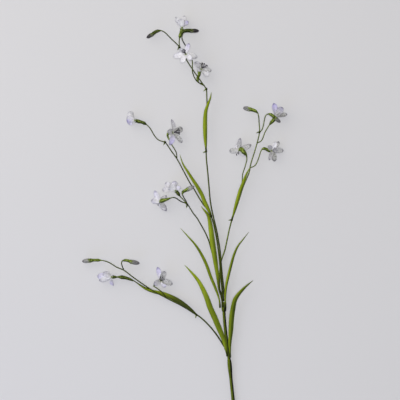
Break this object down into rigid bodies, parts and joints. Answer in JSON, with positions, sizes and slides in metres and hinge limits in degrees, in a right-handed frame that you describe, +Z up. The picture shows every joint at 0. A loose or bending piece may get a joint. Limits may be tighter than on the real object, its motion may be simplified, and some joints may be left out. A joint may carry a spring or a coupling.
{
  "type": "rain lily stem",
  "caption": "Cut rain lily stem lying flat: thin branching green stalks, narrow strap leaves, white to pale lavender six-petalled flowers with dark stamens and grey-tipped buds.",
  "frame": {"origin": "on the surface it lies on, at the middle of its box", "axes": "+Z up from the surface, +Y up the stem from its cut end to its highest flower, +X to the right as seen from above"},
  "size_m": [0.3288, 0.7112, 0.0368],
  "materials": {
    "stem": "satin green stalk skin, darker on its shaded side",
    "leaf": "satin yellow-green leaf with fine veins along it",
    "petal": "matt white to pale lavender petal, greyer and speckled towards its tip",
    "stamen": "matt violet-black stamens and anthers",
    "bud": "matt grey-mauve closed petals, darkest at the tip"
  },
  "bodies": {
    "root": {"leaf_left_branch": "leaf", "leaf_left_lower": "leaf", "leaf_left_upper": "leaf", "leaf_low_branch": "leaf", "leaf_middle": "leaf", "leaf_right_branch": "leaf", "leaf_right_lower": "leaf", "leaf_right_upper": "leaf", "leaf_top_branch": "leaf", "left_branch": "stem", "left_flower_1_petals": "petal", "left_flower_1_stamens": "stamen", "left_flower_2_petals": "petal", "left_flower_2_stamens": "stamen", "low_branch": "stem", "low_bud_1": "bud", "low_bud_2": "bud", "low_flower_1_petals": "petal", "low_flower_1_stamens": "stamen", "low_flower_2_petals": "petal", "low_flower_2_stamens": "stamen", "main_stem": "stem", "middle_branch": "stem", "middle_bud": "bud", "middle_flower_1_petals": "petal", "middle_flower_1_stamens": "stamen", "middle_flower_2_petals": "petal", "middle_flower_2_stamens": "stamen", "right_branch": "stem", "right_bud_1": "bud", "right_bud_2": "bud", "right_flower_1_petals": "petal", "right_flower_1_stamens": "stamen", "right_flower_2_petals": "petal", "right_flower_2_stamens": "stamen", "right_flower_3_petals": "petal", "right_flower_3_stamens": "stamen", "top_branch": "stem", "top_bud_1": "bud", "top_bud_2": "bud", "top_flower_1_petals": "petal", "top_flower_1_stamens": "stamen", "top_flower_2_petals": "petal", "top_flower_2_stamens": "stamen", "top_flower_3_petals": "petal", "top_flower_3_stamens": "stamen"}
  },
  "joints": []
}
